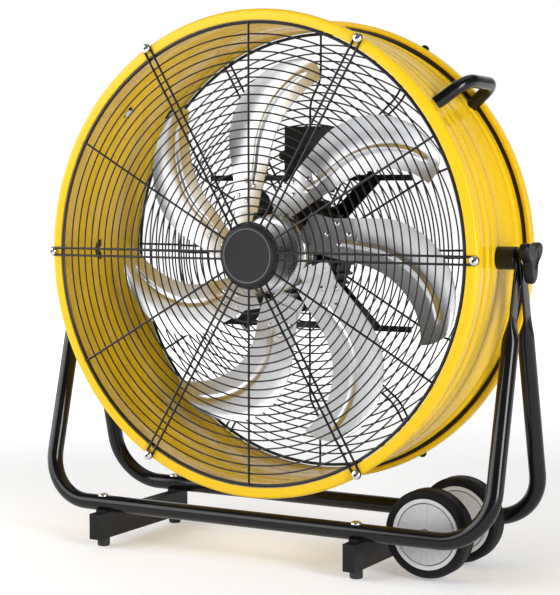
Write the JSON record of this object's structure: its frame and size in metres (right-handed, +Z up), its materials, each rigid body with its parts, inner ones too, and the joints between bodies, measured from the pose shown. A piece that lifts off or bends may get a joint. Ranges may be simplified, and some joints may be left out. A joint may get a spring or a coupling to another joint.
{
  "type": "drum fan",
  "caption": "Large drum fan with swept blades behind wire guards, tilting between two bent-tube frames on cross channels, with transport wheels on one side.",
  "frame": {"origin": "on the floor, straight below the middle of the tilt axis", "axes": "+Z up, the air leaves towards -Y, +X to the right seen from the front, along the tilt axis"},
  "size_m": [0.8106, 0.252, 0.821],
  "materials": {
    "drum_paint": "gloss powder coat",
    "guard_wire": "satin coat",
    "badge_plastic": "gloss",
    "zinc_steel": "zinc plated",
    "blade_metal": "polished",
    "hub_steel": "polished",
    "shaft_steel": "machined",
    "motor_paint": "painted",
    "switch_plastic": "moulded",
    "frame_paint": "satin powder coat",
    "channel_paint": "satin powder coat",
    "foot_rubber": "matt",
    "tyre_rubber": "matt",
    "wheel_plastic": "moulded",
    "knob_plastic": "moulded",
    "washer_steel": "zinc plated"
  },
  "bodies": {
    "stand": {"front_leg_frame": "frame_paint", "rear_leg_frame": "frame_paint", "left_cross_channel": "channel_paint", "right_cross_channel": "channel_paint", "channel_end_caps": "channel_paint", "rubber_feet": "foot_rubber", "saddle_spacers": "channel_paint", "base_bolts": "zinc_steel", "base_nuts": "zinc_steel", "wheel_axle": "shaft_steel", "axle_sleeves": "frame_paint"},
    "rotor": {"fan_shaft": "shaft_steel", "rotor_core": "shaft_steel", "hub_spider": "hub_steel", "hub_cap": "hub_steel", "blade_rivets": "zinc_steel", "blade_1": "blade_metal", "blade_2": "blade_metal", "blade_3": "blade_metal", "blade_4": "blade_metal", "blade_5": "blade_metal", "blade_6": "blade_metal", "blade_7": "blade_metal"},
    "speed_knob": {"speed_knob": "switch_plastic"},
    "front_wheel": {"front_wheel_tyre": "tyre_rubber", "front_wheel_disc": "wheel_plastic"},
    "rear_wheel": {"rear_wheel_tyre": "tyre_rubber", "rear_wheel_disc": "wheel_plastic"},
    "right_knob_slide": {"right_lock_knob_washer": "washer_steel"},
    "right_knob": {"right_lock_knob": "knob_plastic"},
    "left_knob_slide": {"left_lock_knob_washer": "washer_steel"},
    "left_knob": {"left_lock_knob": "knob_plastic"},
    "drum": {"drum_shell": "drum_paint", "front_guard_rings": "guard_wire", "front_guard_spokes": "guard_wire", "rear_guard_rings": "guard_wire", "rear_guard_spokes": "guard_wire", "guard_badge": "badge_plastic", "front_guard_screws": "zinc_steel", "rear_guard_screws": "zinc_steel", "motor_bolts": "zinc_steel", "handle_bolts": "zinc_steel", "stator": "shaft_steel", "motor_bearings": "shaft_steel", "motor_housing": "motor_paint", "motor_front_cover": "motor_paint", "motor_rear_cover": "motor_paint", "switch_box": "switch_plastic", "switch_box_cover": "switch_plastic", "cable_gland": "switch_plastic", "run_capacitor": "switch_plastic", "right_handle": "frame_paint", "left_handle": "frame_paint", "pivot_bosses": "frame_paint", "motor_mount_plate": "frame_paint", "motor_struts": "frame_paint"}
  },
  "joints": [
    {"name": "drum_tilt", "type": "hinge", "parent": "stand", "child": "drum", "pos_m": [0, 0, 0.461], "axis": [1, 0, 0], "range_deg": [-180, 180]},
    {"name": "fan_spin", "type": "hinge", "parent": "drum", "child": "rotor", "pos_m": [0, 0, 0.461], "axis": [0, 1, 0], "continuous": true},
    {"name": "front_wheel_spin", "type": "hinge", "parent": "stand", "child": "front_wheel", "pos_m": [0.268, 0, 0.0675], "axis": [0, 1, 0], "continuous": true},
    {"name": "rear_wheel_spin", "type": "hinge", "parent": "stand", "child": "rear_wheel", "pos_m": [0.268, 0, 0.0675], "axis": [0, 1, 0], "continuous": true},
    {"name": "speed_knob_turn", "type": "hinge", "parent": "drum", "child": "speed_knob", "pos_m": [0.025, 0.08, 0.60999], "axis": [0, 1, 0], "range_deg": [0, 135]},
    {"name": "right_knob_travel", "type": "slide", "parent": "drum", "child": "right_knob_slide", "axis": [1, 0, 0], "range_m": [0, 0.0025]},
    {"name": "right_knob_turn", "type": "hinge", "parent": "right_knob_slide", "child": "right_knob", "pos_m": [0.395, 0, 0.461], "axis": [1, 0, 0], "range_deg": [0, 720]},
    {"name": "left_knob_travel", "type": "slide", "parent": "drum", "child": "left_knob_slide", "axis": [-1, 0, 0], "range_m": [0, 0.0025]},
    {"name": "left_knob_turn", "type": "hinge", "parent": "left_knob_slide", "child": "left_knob", "pos_m": [-0.395, 0, 0.461], "axis": [-1, 0, 0], "range_deg": [0, 720]}
  ],
  "couplings": [
    {"joint": "right_knob_travel", "follows": "right_knob_turn", "m_per_rad": 0.00019894},
    {"joint": "left_knob_travel", "follows": "left_knob_turn", "m_per_rad": 0.00019894}
  ]
}
